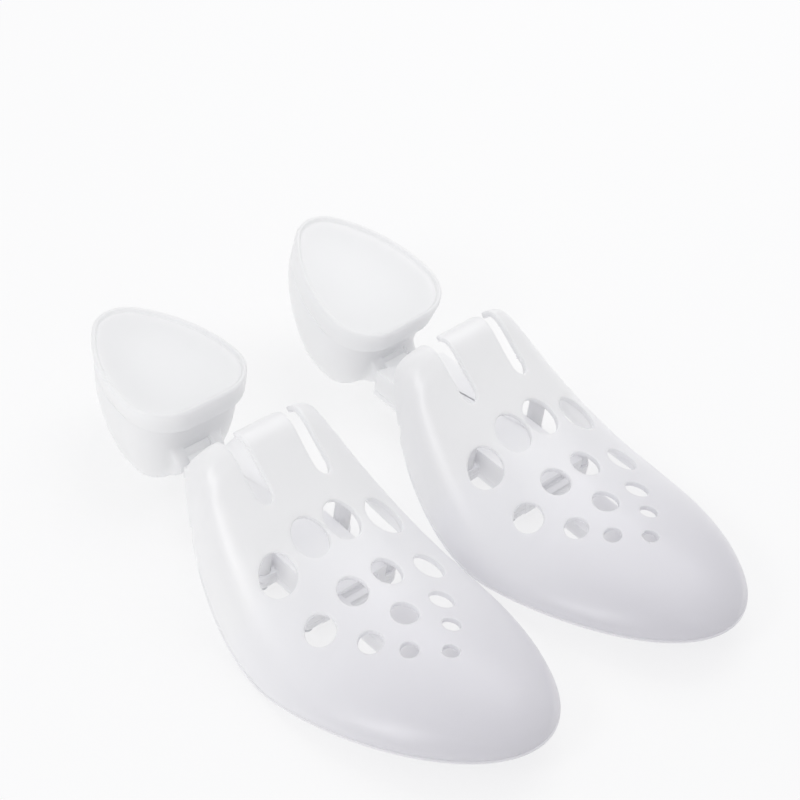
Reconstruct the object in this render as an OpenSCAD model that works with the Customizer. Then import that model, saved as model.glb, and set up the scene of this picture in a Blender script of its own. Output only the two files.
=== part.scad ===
// A pair of adjustable plastic shoe trees, standing side by side on a flat surface.
// Millimetres. +X points to the toes, +Y to the left foot's side, +Z up, and the floor is z = 0.
// Each tree is a vented toe shell, a guide channel under it, a notched length bar that slides
// in the channel, and a heel that tilts on a pin at the bar's back end.

/* [Toe shell] */
// Length of the toe shell along its own rim plane
shell_length = 128; // [115:1:140]
// Width of the toe shell at the ball of the foot
shell_width = 88; // [80:1:96]
// Height of the shell's back edge over its rim plane
shell_height = 65; // [58:1:72]
// Height of the domed toe over the rim plane
toe_height = 20; // [17:0.5:24]
// Wall of the toe shell
shell_wall = 2; // [1.6:0.1:2.6]
// How far the rim rises at the open back
rim_rise = 27.5; // [22:0.5:32]
// Sideways swing of the toe tip towards the big toe
toe_swing = 2.6; // [0:0.1:5]
// Width of the shell's back as a share of its greatest width
back_share = 0.715; // [0.6:0.005:0.85]
// Tilt of the shell when the tree stands on its ball and heel, degrees
rest_pitch = 10.2; // [9:0.1:11]

/* [Fingers and vents] */
// How far the finger tips reach behind the shell's zero line
finger_reach = 8; // [5:0.5:9]
// How far ahead of the zero line the fingers start to curl down
curl_start = 7; // [4:0.5:9]
// Drop of a curled finger over its first 10 mm
finger_curl = 8.6; // [5:0.1:9.5]
// Distance from the shell's zero line to the closed end of each slot
slot_depth = 18.6; // [12:0.2:21]
// Width of each slot between the fingers
slot_width = 6; // [4:0.1:7]
// Distance of each slot from the middle line
slot_offset = 12.6; // [11:0.1:14]
// Corner radius of the middle finger's tip
middle_finger_round = 6.5; // [4:0.1:8]
// Radius of the outer fingers' corners beside the slots
finger_round = 3.5; // [2:0.1:5]
// Radius of the outer fingers' outside corners
finger_corner = 9; // [6:0.1:11]
// How much shorter the middle finger is than the outer two
middle_finger_back = 0.5; // [0:0.1:4]
// Diameter of the four vents in the first row
vent_d1 = 12.8; // [9:0.1:13.5]
// Diameter of the four vents in the second row
vent_d2 = 10.5; // [8:0.1:11.5]
// Diameter of the middle vent in the third row
vent_d3 = 9.4; // [6:0.1:10.5]
// Diameter of the outer vents in the third row
vent_d4 = 8.4; // [6:0.1:10]
// Diameter of the two vents in the fourth row
vent_d5 = 6.2; // [4:0.1:8]
// Diameter of the last vent
vent_d6 = 5.5; // [4:0.1:8]

/* [Length bar] */
// Width of the length bar
bar_width = 19; // [16:0.5:21]
// Thickness of the length bar
bar_thickness = 5; // [4:0.1:6]
// Distance from the hinge pin to the bar's front end
bar_reach = 136; // [128:1:140]
// How far the bar draws out from its shortest setting
bar_travel = 45; // [30:1:46]
// Distance between two length settings
notch_pitch = 5; // [4:0.5:8]
// Depth of each notch
notch_depth = 1.1; // [0.6:0.1:1.6]
// Running gap round the sliding bar
slide_gap = 0.3; // [0.2:0.05:0.5]
// Diameter of the stop pin near the bar's front end
stop_pin_d = 3; // [2:0.1:4]

/* [Guide channel] */
// Outside width of the guide channel
channel_width = 27; // [25:0.5:30]
// Wall over the bar
channel_roof = 2; // [1.6:0.1:3]
// Thickness of the keeper plate that closes the channel from below
keeper_thickness = 2.5; // [2:0.1:3.5]
// Free height over the bar, where the detent spring moves
spring_room = 1.8; // [1.6:0.1:2.4]
// Distance from the hinge pin to the channel's back end
channel_setback = 8; // [7.5:0.1:10]
// How much farther forward the channel ends on the little toe's side
channel_skew = 7; // [0:0.5:8]
// Thickness of the mounting ears on the channel
ear_thickness = 3; // [2:0.1:4]
// Distance of the mounting screws from the middle line
screw_offset = 17.5; // [16.5:0.1:18.5]
// Diameter of the mounting screws' shank
screw_d = 2.5; // [2:0.1:3]
// Thickness of the detent spring's leaf
leaf_thickness = 0.6; // [0.4:0.05:0.7]
// Width of the detent spring's leaf
leaf_width = 8; // [5:0.5:12]
// Diameter of the rivet that holds the detent spring
rivet_d = 2.5; // [2:0.1:3]

/* [Heel] */
// Height of the hinge pin over the floor
hinge_height = 13.1; // [12.6:0.1:14]
// Diameter of the hinge pin
pin_d = 4; // [3:0.1:4.5]
// Radial clearance of the hinge pin in the bar's eye
pin_clearance = 0.05; // [0.02:0.01:0.1]
// Outer radius of the bar's eye
eye_radius = 4.5; // [4:0.1:5]
// Width of the bar's eye between the heel's two ears
eye_width = 11; // [9:0.5:12]
// Radius of the heel's two hinge ears
ear_radius = 6.4; // [5.6:0.1:6.8]
// Length of the heel's top from front to back
heel_length = 58; // [54:0.5:70]
// Width of the heel's top
heel_width = 50; // [44:0.5:56]
// Height of the heel from the floor to its raised edge
heel_height = 39.4; // [38:0.2:46]
// How far the heel's top reaches in front of the hinge pin
heel_overhang = 5.6; // [4:0.1:7]
// How far the heel is set over towards the big toe's side
heel_swing = 1.6; // [0:0.1:2.5]
// Corner radius of the heel top's two front corners
heel_corner = 16.2; // [12:0.1:18]
// Radius of the heel top's round back
heel_back_radius = 13.5; // [9:0.1:15]
// Radius of the heel top's curved sides
heel_side_radius = 56; // [48:1:90]
// Height of the collar round the heel's top
collar_height = 9; // [7:0.1:11]
// Width of the raised edge round the heel's top
edge_width = 1.8; // [1.4:0.1:2.6]
// Depth of the panel inside the raised edge
panel_depth = 1.4; // [0.8:0.1:2]
// Thickness of the heel cap's panel
panel_thickness = 2; // [1.6:0.1:3]
// Wall of the hollow heel body
heel_wall = 2.2; // [1.8:0.1:3]
// Step of the heel body behind the collar at the front
front_step = 4.2; // [3:0.1:5]
// How much the collar draws in at its sides and back, from its top to its bottom
collar_draft = 1.2; // [0.6:0.1:1.6]
// How far the heel's foot starts behind the hinge pin
foot_setback = 5.5; // [1:0.5:7]
// Length of the heel's foot on the floor
foot_length = 30; // [26:0.5:36]
// Width of the heel's foot on the floor
foot_width = 29; // [26:0.5:36]

/* [Pair] */
// Distance between the two trees' middle lines
pair_spacing = 90.7; // [90:0.1:120]
// How far the left tree stands ahead of the right one
pair_stagger = 2.7; // [-10:0.1:10]
// Turn of the left tree against the right one, degrees
pair_turn = 1.4; // [0:0.1:3]
// Tilt of the left tree's heel as it stands in the pair, degrees
left_heel_tilt = 11.3; // [0:0.1:30]

/* [Hidden] */
$fn = 48;
// Overshoot of cutters past the faces that they cut
over = 1;
// Clearance of the screws in their clearance holes, on the radius
screw_clearance = 0.35;
// Clearance of the screws in the posts, on the radius
thread_clearance = 0.03;

// Where along the shell its width is greatest, as a share of its length
ball_share = 0.42;
// Grid of the shell's surface: steps along it and across it
steps_along = 32;
steps_across = 24;
// Share of the length where the surface starts, and where the fingers start to curl
start_share = -finger_reach / shell_length;
// Section exponents at the finger tips, near the back, at the middle and at the toe
section_exponents = [[start_share, 6], [0.03, 3.05], [0.5, 1.45], [1, 1.8]];
curl_share = curl_start / shell_length;

// Half width of the shell at share t of its length
function half_width(t) = shell_width / 2 * (t < ball_share
    ? 1 - (1 - back_share) * pow((ball_share - max(0, t)) / ball_share, 2)
    : sqrt(max(0, 1 - pow((t - ball_share) / (1 - ball_share), 1.7))));
// Height of the ridge over the rim plane, before the fingers curl down
function crest(t) = toe_height * sqrt(max(0, 1 - pow(t, 4.15)))
    + (shell_height - toe_height) * pow(1 - t, 3.9);
curl_slope = (crest(curl_share) - crest(curl_share + 0.001)) / 0.001;
// The ridge runs straight on from where the curl starts, less a drop that grows as the square
function ridge(t) = let (d = curl_share - t) d < 0 ? crest(t)
    : crest(curl_share) + curl_slope * d - finger_curl * pow(d * shell_length / 10, 2);
// Height of the rim over the rim plane: it rises towards the open back
function rim(t) = t < ball_share ? rim_rise * pow(1 - t / ball_share, 1.9) : 0;
// Middle line of the shell, bent towards the big toe
function middle(t) = toe_swing * pow(max(0, (t - ball_share) / (1 - ball_share)), 2);
function section(t) = lookup(t, section_exponents);
// Point of the outer surface: t runs to the toe, a runs over the section from 0 to 180 degrees
function outer(t, a) = [
    shell_length * t,
    middle(t) + half_width(t) * sign(cos(a)) * pow(abs(cos(a)), 2 / section(t)),
    rim(t) + (ridge(t) - rim(t)) * sin(a)];
function unit(v) = v / norm(v);
// Outward normal of the outer surface, from two short steps on it
function outward(t, a) = t >= 1 ? [1, 0, 0] : let (
    along = outer(min(1, t + 0.002), a) - outer(max(start_share, t - 0.002), a),
    across = outer(t, min(180, a + 0.5)) - outer(t, max(0, a - 0.5))) unit(cross(across, along));
function shifted(t, a, by) = outer(t, a) + by * outward(t, a);
// Stations along the shell, closer together at both ends, and angles across it
function station(i) = let (s = i / steps_along)
    1 - (1 - start_share) * pow(1 - s + 0.06 * sin(360 * s), 1.7);
function angle(j) = 90 * (1 - cos(180 * j / steps_across));

// Two faces for the four-sided patch a, b, c, d
function quad(a, b, c, d) = [[a, b, c], [a, c, d]];
// Points of the skin moved by the distance shift along its normal, ending in one tip point
function skin_points(shift) = concat(
    [for (i = [0:steps_along - 1]) for (j = [0:steps_across]) shifted(station(i), angle(j), shift)],
    [shifted(1, 90, shift)]);
// Solid between two skins of the shell: upper skin, lower skin and the strips that join them
module between(upper, lower) {
    n = steps_across + 1;
    last = steps_along - 1;
    tip = steps_along * n;
    m = tip + 1;
    rows = [0:last - 1];
    columns = [0:steps_across - 1];
    faces = concat(
        [for (i = rows) for (j = columns) let (k = i * n + j) each quad(k, k + n, k + n + 1, k + 1)],
        [for (i = rows) for (j = columns) let (k = m + i * n + j) each quad(k, k + 1, k + n + 1, k + n)],
        [for (j = columns) let (k = last * n + j) [k, tip, k + 1]],
        [for (j = columns) let (k = m + last * n + j) [k, k + 1, m + tip]],
        [for (i = rows) let (k = i * n) each quad(k, m + k, m + k + n, k + n)],
        [for (i = rows) let (k = i * n + n - 1) each quad(k, k + n, m + k + n, m + k)],
        [for (j = columns) each quad(j, j + 1, m + j + 1, m + j)],
        quad(last * n, m + last * n, m + tip, tip),
        let (k = last * n + n - 1) quad(k, tip, m + tip, m + k));
    polyhedron(concat(upper, lower), faces, convexity = 6);
}
// The space under the middle of the wall, which trims the posts to the roof
module under_roof() {
    roof = skin_points(-shell_wall / 2);
    between(roof, [for (p = roof) p - [0, 0, 2 * shell_height]]);
}

// Lowest point of the tilted rim, which is the tree's front foot
function rim_drop(t) = shell_length * t * sin(rest_pitch) + rim(t) * cos(rest_pitch);
ball_drop = min([for (i = [0:200]) rim_drop(i / 200)]);
// A shape given in the shell's own rim plane is tilted and set down on the floor
module standing() {
    translate([0, 0, -ball_drop]) rotate([0, -rest_pitch, 0]) children();
}

// Vents as [share of the length, share of the half width, diameter]
vents = [
    [0.270, 0.550, vent_d1], [0.250, 0.165, vent_d1],
    [0.436, 0.550, vent_d2], [0.415, 0.173, vent_d2],
    [0.550, 0.375, vent_d4], [0.544, 0, vent_d3],
    [0.636, 0.235, vent_d5], [0.707, 0, vent_d6]];
module vent_cutters() {
    for (v = vents) for (side = v[1] == 0 ? [1] : [-1, 1])
        translate([v[0] * shell_length, middle(v[0]) + side * v[1] * half_width(v[0]), 0])
            cylinder(h = shell_height + over, d = v[2]);
}

// Plan of one finger, open towards the toe: its corner radii are near and far from the middle
module finger_plan(back, from, to, near, far) {
    translate([back + near, from]) square([slot_depth - back - near, near]);
    translate([back, from + near]) square([slot_depth - back, to - from - near - far]);
    translate([back + far, to - far]) square([slot_depth - back - far, far]);
    translate([back + near, from + near]) circle(r = near);
    translate([back + far, to - far]) circle(r = far);
}
module finger_cutter() {
    edge = slot_offset - slot_width / 2;
    wide = shell_width / 2 + over;
    side_wall = half_width(0);
    start = -shell_height / 2;
    translate([0, 0, -over]) linear_extrude(shell_height + 3 * over) {
        difference() {
            translate([start, -wide]) square([slot_depth - slot_width / 2 - start, 2 * wide]);
            finger_plan(middle_finger_back - finger_reach, -edge, edge,
                        middle_finger_round, middle_finger_round);
            for (side = [0, 1]) mirror([0, side]) {
                finger_plan(-finger_reach, slot_offset + slot_width / 2, side_wall,
                            finger_round, finger_corner);
                translate([finger_corner - finger_reach, side_wall - over]) square(wide);
            }
        }
        for (y = [-slot_offset, slot_offset])
            translate([slot_depth - slot_width / 2, y]) circle(d = slot_width);
    }
}

// Heights in the channel, from the bar outwards
bar_bottom = hinge_height - bar_thickness / 2;
bar_top = hinge_height + bar_thickness / 2;
keeper_top = bar_bottom - slide_gap;
keeper_bottom = keeper_top - keeper_thickness;
roof_bottom = bar_top + spring_room;
channel_top = roof_bottom + channel_roof;
post_bottom = keeper_top + ear_thickness;

// Places along the tree: the hinge pin lies behind the shell's back edge
hinge_x = -43.4;
channel_back = hinge_x + channel_setback;
bar_front = hinge_x + bar_reach;
stop_x = bar_front - stop_pin_d / 2 - 2;
channel_front = stop_x - stop_pin_d / 2 - bar_travel - slide_gap;
// The mounting posts stand between the rows of vents
post_rows = [0.12 * shell_length, 0.3 * shell_length];
post_d = screw_d + 3.5;
ear_d = screw_d + 4.5;

module posts() {
    for (x = post_rows) for (y = [-screw_offset, screw_offset])
        translate([x, y, post_bottom]) cylinder(h = shell_height, d = post_d);
}
post_bore_depth = 6;
module post_bores() {
    for (x = post_rows) for (y = [-screw_offset, screw_offset])
        translate([x, y, post_bottom - over])
            cylinder(h = post_bore_depth + over, r = screw_d / 2 + thread_clearance);
}

module toe_shell() {
    color("ghostwhite") difference() {
        union() {
            standing() difference() {
                between(skin_points(0), skin_points(-shell_wall));
                vent_cutters();
                finger_cutter();
            }
            intersection() {
                posts();
                standing() under_roof();
            }
        }
        post_bores();
    }
}

// Plan of the channel, whose back end is cut askew
module channel_strip() {
    polygon([[channel_back + channel_skew, -channel_width / 2], [channel_front, -channel_width / 2],
             [channel_front, channel_width / 2], [channel_back, channel_width / 2]]);
}
// Plan of the channel or of the keeper with its four round ears
module channel_plan() {
    channel_strip();
    for (x = post_rows) {
        translate([x - ear_d / 2, -screw_offset]) square([ear_d, 2 * screw_offset]);
        for (y = [-screw_offset, screw_offset]) translate([x, y]) circle(d = ear_d);
    }
}
module screw_holes() {
    for (x = post_rows) for (y = [-screw_offset, screw_offset])
        translate([x, y, keeper_bottom - over])
            cylinder(h = post_bottom - keeper_bottom + 2 * over, r = screw_d / 2 + screw_clearance);
}
rivet_x = channel_back + 12;
leaf_reach = 28;
module guide_channel() {
    color("whitesmoke") difference() {
        union() {
            translate([0, 0, keeper_top]) linear_extrude(ear_thickness) channel_plan();
            translate([0, 0, keeper_top]) linear_extrude(channel_top - keeper_top) channel_strip();
        }
        translate([channel_back - over, -bar_width / 2 - slide_gap, keeper_top - over])
            cube([channel_front - channel_back + 2 * over, bar_width + 2 * slide_gap,
                  roof_bottom - keeper_top + over]);
        screw_holes();
        translate([rivet_x, 0, roof_bottom - over])
            cylinder(h = channel_roof + 2 * over, r = rivet_d / 2 + thread_clearance);
    }
}
module keeper_plate() {
    color("whitesmoke") difference() {
        translate([0, 0, keeper_bottom]) linear_extrude(keeper_thickness) channel_plan();
        screw_holes();
    }
}

screw_head_d = screw_d * 2.1;
screw_head = 1.8;
module channel_screws() {
    color("silver") for (x = post_rows) for (y = [-screw_offset, screw_offset])
        translate([x, y, keeper_bottom - screw_head]) {
            cylinder(h = screw_head, d = screw_head_d);
            cylinder(h = screw_head + post_bottom - keeper_bottom + post_bore_depth - 1, d = screw_d);
        }
}

// The leaf lies under the channel's roof and its bump hangs just clear of the bar
bump_x = rivet_x + leaf_reach - 3;
bump_drop = spring_room - leaf_thickness - slide_gap;
module detent_spring() {
    color("lightgray") difference() {
        union() {
            translate([rivet_x - leaf_width / 2, -leaf_width / 2, roof_bottom - leaf_thickness])
                cube([leaf_reach + leaf_width / 2, leaf_width, leaf_thickness]);
            intersection() {
                translate([bump_x, 0, roof_bottom - leaf_thickness])
                    rotate([90, 0, 0]) cylinder(h = leaf_width, r = bump_drop, center = true);
                translate([bump_x - over, -leaf_width, bar_top])
                    cube([2 * over, 2 * leaf_width, spring_room - leaf_thickness / 2]);
            }
        }
        translate([rivet_x, 0, bar_top]) cylinder(h = spring_room + over, r = rivet_d / 2 + thread_clearance);
    }
}
rivet_head_d = rivet_d * 1.9;
rivet_head = 0.6;
module spring_rivet() {
    color("silver") {
        translate([rivet_x, 0, roof_bottom - leaf_thickness - rivet_head])
            cylinder(h = rivet_head, d = rivet_head_d);
        translate([rivet_x, 0, roof_bottom - leaf_thickness - rivet_head])
            cylinder(h = channel_top - roof_bottom + leaf_thickness + 2 * rivet_head, d = rivet_d);
        translate([rivet_x, 0, channel_top]) cylinder(h = rivet_head, d = rivet_head_d);
    }
}

// The bar: an eye for the hinge pin, a narrow neck and a flat notched blade
shoulder_x = hinge_x + ear_radius + 0.6;
notch_count = floor(bar_travel / notch_pitch) + 1;
module length_bar() {
    color("whitesmoke") difference() {
        union() {
            translate([shoulder_x, -bar_width / 2, bar_bottom])
                cube([bar_front - shoulder_x, bar_width, bar_thickness]);
            translate([hinge_x, -eye_width / 2, bar_bottom])
                cube([shoulder_x - hinge_x + over, eye_width, bar_thickness]);
            translate([hinge_x, 0, hinge_height]) rotate([90, 0, 0])
                cylinder(h = eye_width, r = eye_radius, center = true);
        }
        translate([hinge_x, 0, hinge_height]) rotate([90, 0, 0])
            cylinder(h = eye_width + 2 * over, r = pin_d / 2 + pin_clearance, center = true);
        for (i = [0:notch_count - 1])
            translate([bump_x + i * notch_pitch, 0, bar_top]) rotate([90, 0, 0])
                cylinder(h = leaf_width + 2, r = notch_depth, center = true, $fn = 24);
        translate([stop_x, 0, bar_bottom - over])
            cylinder(h = bar_thickness + 2 * over, r = stop_pin_d / 2 + thread_clearance);
    }
}
module stop_pin() {
    color("silver") translate([stop_x, 0, bar_bottom])
        cylinder(h = roof_bottom + channel_roof * 0.75 - bar_bottom, d = stop_pin_d);
}
module hinge_pin() {
    color("silver") translate([hinge_x, 0, hinge_height]) rotate([90, 0, 0])
        cylinder(h = bar_width, d = pin_d, center = true);
}

// Rounded shield: two front corners, two curved sides and a round back, with equal point counts.
// Each side's arc touches its front corner's circle and the back's circle from outside.
arc_steps = 7;
function arc(c, r, from, to) =
    [for (i = [0:arc_steps]) let (a = from + (to - from) * i / arc_steps) c + r * [cos(a), sin(a)]];
function shield(front, back, width, corner, round, side) = let (
    f = [front - corner, width / 2 - corner],
    b = [back + round, 0],
    gap = norm(f - b),
    way = (b - f) / gap,
    along = (pow(side - corner, 2) - pow(side - round, 2) + gap * gap) / (2 * gap),
    c = f + way * along + [-way[1], way[0]] * sqrt(pow(side - corner, 2) - along * along),
    first = atan2(f[1] - c[1], f[0] - c[0]),
    last = atan2(b[1] - c[1], b[0] - c[0]))
    concat(arc(f, corner, 0, first), arc(c, side, first, last), arc(b, round, last, 360 - last),
           arc([c[0], -c[1]], side, 360 - last, 360 - first), arc([f[0], -f[1]], corner, 360 - first, 360));
// Solid through outlines of equal count, each given as [height, outline]
module loft(levels) {
    n = len(levels[0][1]);
    points = [for (l = levels) for (p = l[1]) [p[0], p[1], l[0]]];
    top = n * (len(levels) - 1);
    faces = concat(
        [[for (j = [n - 1:-1:0]) n - 1 - j]],
        [[for (j = [0:n - 1]) top + n - 1 - j]],
        [for (i = [0:len(levels) - 2]) for (j = [0:n - 1]) let (a = i * n + j, b = i * n + (j + 1) % n)
            each [[a, a + n, b + n], [a, b + n, b]]]);
    polyhedron(points, faces, convexity = 4);
}

heel_front = hinge_x + heel_overhang;
heel_back = heel_front - heel_length;
collar_bottom = heel_height - collar_height;
panel_bottom = heel_height - panel_depth - panel_thickness;
foot_front = hinge_x - foot_setback;
foot_corner = 6.5;
body_corner = 14;
// How far the collar's bottom and the heel body lean over to the big-toe side
body_lean = 0.8;
// How soon the heel body's front comes upright above the foot
front_fullness = 6;
foot_side_radius = 34;
function swung(outline) = [for (p = outline) p + [0, heel_swing]];
function cap_outline(inset) = swung(shield(heel_front - inset, heel_back + inset,
    heel_width - 2 * inset, heel_corner - inset, heel_back_radius - inset, heel_side_radius - inset));
function leaned(outline, s) = [for (p = outline) p + [0, heel_swing + body_lean * s]];
drafted_width = heel_width - 2 * collar_draft;
drafted_back = heel_back + collar_draft;
// Outline of the heel body at share s of the way from the foot to the collar
function body_outline(s, inset) = let (
    k = 1 - pow(1 - s, 2),
    front = foot_front + (heel_front - front_step - foot_front) * (1 - pow(1 - s, front_fullness)),
    back = foot_front - foot_length + (drafted_back - foot_front + foot_length) * k,
    width = foot_width + (drafted_width - foot_width) * k,
    corner = foot_corner + (body_corner - foot_corner) * k,
    side = foot_side_radius + (heel_side_radius - foot_side_radius) * k)
    leaned(shield(front - inset, back + inset, width - 2 * inset, corner - inset,
                  heel_back_radius - inset, side - inset), s);
// Insets of the body's spigot and of the hollow in it, from the cap's outline
spigot_inset = front_step + 0.9;
hollow_inset = spigot_inset + heel_wall + 0.9;
// The collar's ring is as wide as the step, so that it closes the body's edge from above
ring_width = front_step - slide_gap;
body_levels = 7;
foot_round = 2;
module heel_solid(inset, bottom, top) {
    loft([for (i = [0:body_levels]) let (z = bottom + (top - bottom) * pow(i / body_levels, 1.5),
        s = z / collar_bottom) [z, body_outline(min(1, s), inset)]]);
}
module hinge_side(from, to) {
    translate([0, from, 0]) rotate([90, 0, 0]) mirror([0, 0, 1])
        linear_extrude(to - from) {
            translate([hinge_x, hinge_height]) circle(r = ear_radius);
            translate([hinge_x - 12, hinge_height - ear_radius]) square([12, 2 * ear_radius]);
        }
}
slot_half = eye_width / 2 + slide_gap;
slot_radius = eye_radius + slide_gap;
// How far the roof of the heel's slot reaches over the bar's eye
hood_reach = 2;
module heel_body() {
    color("ghostwhite") difference() {
        union() {
            difference() {
                union() {
                    loft([[0, body_outline(0, foot_round)], [foot_round, body_outline(foot_round / collar_bottom, 0)]]);
                    heel_solid(0, foot_round, collar_bottom);
                    translate([0, 0, collar_bottom - over]) linear_extrude(panel_bottom - collar_bottom + over)
                        polygon(cap_outline(spigot_inset));
                }
                difference() {
                    union() {
                        heel_solid(heel_wall, heel_wall, collar_bottom);
                        translate([0, 0, collar_bottom - over]) linear_extrude(heel_height)
                            polygon(cap_outline(hollow_inset));
                    }
                    translate([hinge_x - 12, -bar_width / 2, 0])
                        cube([30, bar_width, hinge_height + ear_radius + heel_wall]);
                }
            }
            hinge_side(-bar_width / 2, bar_width / 2);
        }
        translate([hinge_x - slot_radius, -slot_half, hinge_height - slot_radius])
            cube([heel_length, 2 * slot_half, 2 * slot_radius]);
        translate([hinge_x + hood_reach, -slot_half, hinge_height])
            cube([heel_length, 2 * slot_half, ear_radius + slide_gap]);
        translate([hinge_x, 0, hinge_height]) rotate([90, 0, 0])
            cylinder(h = bar_width + 2 * over, r = pin_d / 2 + thread_clearance, center = true);
    }
}
module heel_cap() {
    color("ghostwhite") difference() {
        loft([[collar_bottom, leaned(shield(heel_front, drafted_back, drafted_width, heel_corner,
                                            heel_back_radius, heel_side_radius), 1)],
              [heel_height, cap_outline(0)]]);
        translate([0, 0, heel_height - panel_depth]) linear_extrude(heel_height)
            polygon(cap_outline(edge_width));
        translate([0, 0, collar_bottom - over]) linear_extrude(panel_bottom - collar_bottom + over)
            polygon(cap_outline(ring_width));
    }
}

// The pair: the right tree, and its mirror image beside it
ball_x = ball_share * shell_length * cos(rest_pitch);
centre_x = (heel_back + pair_stagger + shell_length * cos(rest_pitch)) / 2;
centre_y = (pair_spacing + ball_x * sin(pair_turn)) / 2;
module tilted(tilt) {
    translate([hinge_x, 0, hinge_height]) rotate([0, tilt, 0])
        translate([-hinge_x, 0, -hinge_height]) children();
}
module right() {
    translate([-centre_x, -centre_y, 0]) children();
}
module left() {
    translate([pair_stagger - centre_x, pair_spacing - centre_y, 0])
        rotate([0, 0, pair_turn]) mirror([0, 1, 0]) children();
}

right() toe_shell();  // right_toe_shell
right() guide_channel();  // right_guide_channel
right() keeper_plate();  // right_keeper_plate
right() channel_screws();  // right_channel_screws
right() detent_spring();  // right_detent_spring
right() spring_rivet();  // right_spring_rivet
right() length_bar();  // right_length_bar
right() stop_pin();  // right_stop_pin
right() hinge_pin();  // right_hinge_pin
right() heel_body();  // right_heel_body
right() heel_cap();  // right_heel_cap
left() toe_shell();  // left_toe_shell
left() guide_channel();  // left_guide_channel
left() keeper_plate();  // left_keeper_plate
left() channel_screws();  // left_channel_screws
left() detent_spring();  // left_detent_spring
left() spring_rivet();  // left_spring_rivet
left() length_bar();  // left_length_bar
left() stop_pin();  // left_stop_pin
left() tilted(left_heel_tilt) hinge_pin();  // left_hinge_pin
left() tilted(left_heel_tilt) heel_body();  // left_heel_body
left() tilted(left_heel_tilt) heel_cap();  // left_heel_cap
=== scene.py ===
"""A pair of frosted polypropylene shoe trees on a white studio floor."""
import bpy
import numpy as np
from mathutils import Matrix


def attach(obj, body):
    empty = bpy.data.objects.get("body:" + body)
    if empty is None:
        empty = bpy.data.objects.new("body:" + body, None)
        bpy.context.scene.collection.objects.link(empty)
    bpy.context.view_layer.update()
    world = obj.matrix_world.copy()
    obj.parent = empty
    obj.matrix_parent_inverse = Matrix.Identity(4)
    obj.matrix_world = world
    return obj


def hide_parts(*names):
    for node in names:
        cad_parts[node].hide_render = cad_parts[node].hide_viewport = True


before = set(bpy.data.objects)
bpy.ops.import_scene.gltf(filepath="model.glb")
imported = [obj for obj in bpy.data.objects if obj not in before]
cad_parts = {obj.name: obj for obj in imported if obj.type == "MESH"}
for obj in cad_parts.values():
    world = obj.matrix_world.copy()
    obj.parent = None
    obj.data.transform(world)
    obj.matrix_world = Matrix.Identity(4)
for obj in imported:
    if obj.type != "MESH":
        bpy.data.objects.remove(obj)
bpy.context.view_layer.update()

# Sizes in millimetres, the same as in the part's source
SHELL_LENGTH = 128.0
SHELL_WIDTH = 88.0
SHELL_HEIGHT = 65.0
TOE_HEIGHT = 20.0
SHELL_WALL = 2.0
RIM_RISE = 27.5
TOE_SWING = 2.6
BACK_SHARE = 0.715
REST_PITCH = np.radians(10.2)
BALL_SHARE = 0.42
FINGER_REACH = 8.0
CURL_START = 7.0
FINGER_CURL = 8.6
SLOT_DEPTH = 18.6
SLOT_WIDTH = 6.0
SLOT_OFFSET = 12.6
MIDDLE_FINGER_ROUND = 6.5
FINGER_ROUND = 3.5
FINGER_CORNER = 9.0
MIDDLE_FINGER_BACK = 0.5
BAR_WIDTH = 19.0
SLIDE_GAP = 0.3
EAR_THICKNESS = 3.0
SCREW_OFFSET = 17.5
SCREW_D = 2.5
HINGE_X = -43.4
HINGE_HEIGHT = 13.1
BAR_THICKNESS = 5.0
EAR_RADIUS = 6.4
EYE_RADIUS = 4.5
EYE_WIDTH = 11.0
HOOD_REACH = 2.0
HEEL_LENGTH = 58.0
HEEL_WIDTH = 50.0
HEEL_HEIGHT = 39.4
HEEL_OVERHANG = 5.6
HEEL_SWING = 1.6
HEEL_CORNER = 16.2
HEEL_BACK_RADIUS = 13.5
HEEL_SIDE_RADIUS = 56.0
COLLAR_HEIGHT = 9.0
EDGE_WIDTH = 1.8
PANEL_DEPTH = 1.4
FRONT_STEP = 4.2
COLLAR_DRAFT = 1.2
BODY_LEAN = 0.8
BODY_CORNER = 14.0
FRONT_FULLNESS = 6
FOOT_SETBACK = 5.5
FOOT_LENGTH = 30.0
FOOT_WIDTH = 29.0
FOOT_CORNER = 6.5
FOOT_SIDE_RADIUS = 34.0
PAIR_SPACING = 90.7
PAIR_STAGGER = 2.7
PAIR_TURN = np.radians(1.4)
LEFT_HEEL_TILT = np.radians(11.3)
VENTS = [(0.270, 0.550, 12.8), (0.250, 0.165, 12.8), (0.436, 0.550, 10.5), (0.415, 0.173, 10.5),
         (0.550, 0.375, 8.4), (0.544, 0.0, 9.4), (0.636, 0.235, 6.2), (0.707, 0.0, 5.5)]

# Sizes in millimetres of what only the visual model has
EDGE_ROUND = 0.35
TOE_RIDGE_PUSH = 0.7
TOE_RIDGE_SHARE = 0.66
TOE_RIDGE_SPREAD = 0.2
BEAD_RADIUS = 0.5
BEAD_TAPER = 14.0
POST_WALL = 1.75
POST_BORE_GAP = 0.03
POST_CHAMFER = 0.3
FOOT_ROUND = 2.5
HEEL_AXIS_X = -61.0
LID_TONGUE = 4.5

# Fineness of the meshes
SHELL_ROWS = 168
SHELL_COLUMNS = 150
BEAD_STATIONS = 330
BEAD_POINTS = 12
POST_POINTS = 40
HEEL_POINTS = 288

START_SHARE = -FINGER_REACH / SHELL_LENGTH
CURL_SHARE = CURL_START / SHELL_LENGTH
HEEL_FRONT = HINGE_X + HEEL_OVERHANG
HEEL_BACK = HEEL_FRONT - HEEL_LENGTH
COLLAR_BOTTOM = HEEL_HEIGHT - COLLAR_HEIGHT
FOOT_FRONT = HINGE_X - FOOT_SETBACK
KEEPER_TOP = HINGE_HEIGHT - BAR_THICKNESS / 2 - SLIDE_GAP
POST_BOTTOM = KEEPER_TOP + EAR_THICKNESS


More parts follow.
